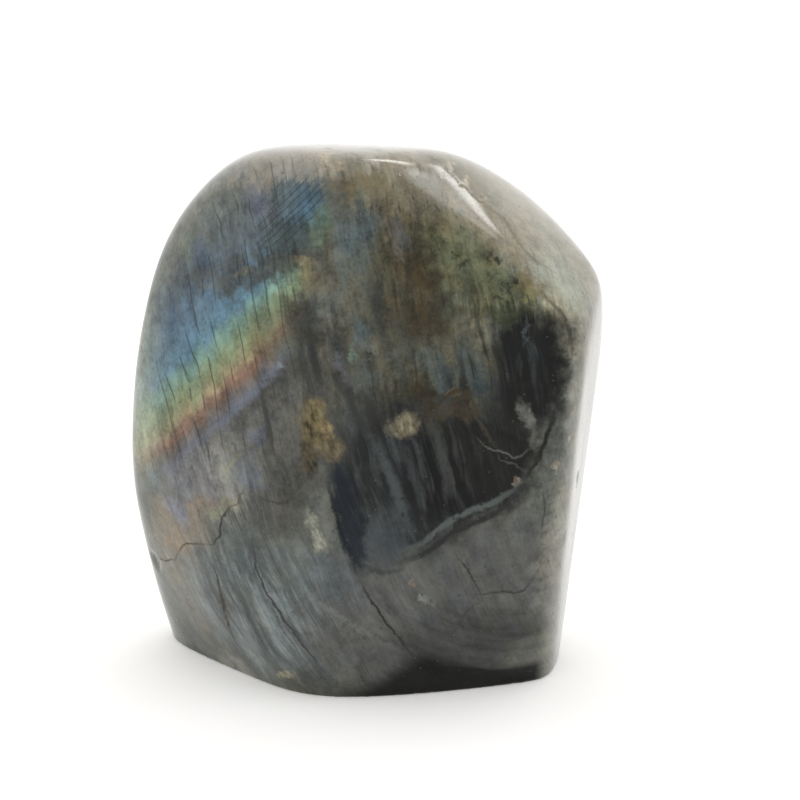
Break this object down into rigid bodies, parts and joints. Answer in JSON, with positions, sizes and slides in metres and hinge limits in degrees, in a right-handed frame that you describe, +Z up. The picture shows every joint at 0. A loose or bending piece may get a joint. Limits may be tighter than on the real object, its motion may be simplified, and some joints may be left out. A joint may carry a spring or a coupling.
{
  "type": "polished labradorite free-form",
  "caption": "Upright polished labradorite stone with a flat front, a rounded outline, a ground shoulder and a flat sawn base.",
  "frame": {"origin": "middle of the stone's box on its resting plane", "axes": "+Z up from the sawn base, -Y out of the broad front face, +X to the right as the front face is seen"},
  "size_m": [0.0944, 0.0582, 0.1068],
  "materials": {
    "labradorite": "polished"
  },
  "bodies": {
    "root": {"labradorite_stone": "labradorite"}
  },
  "joints": []
}
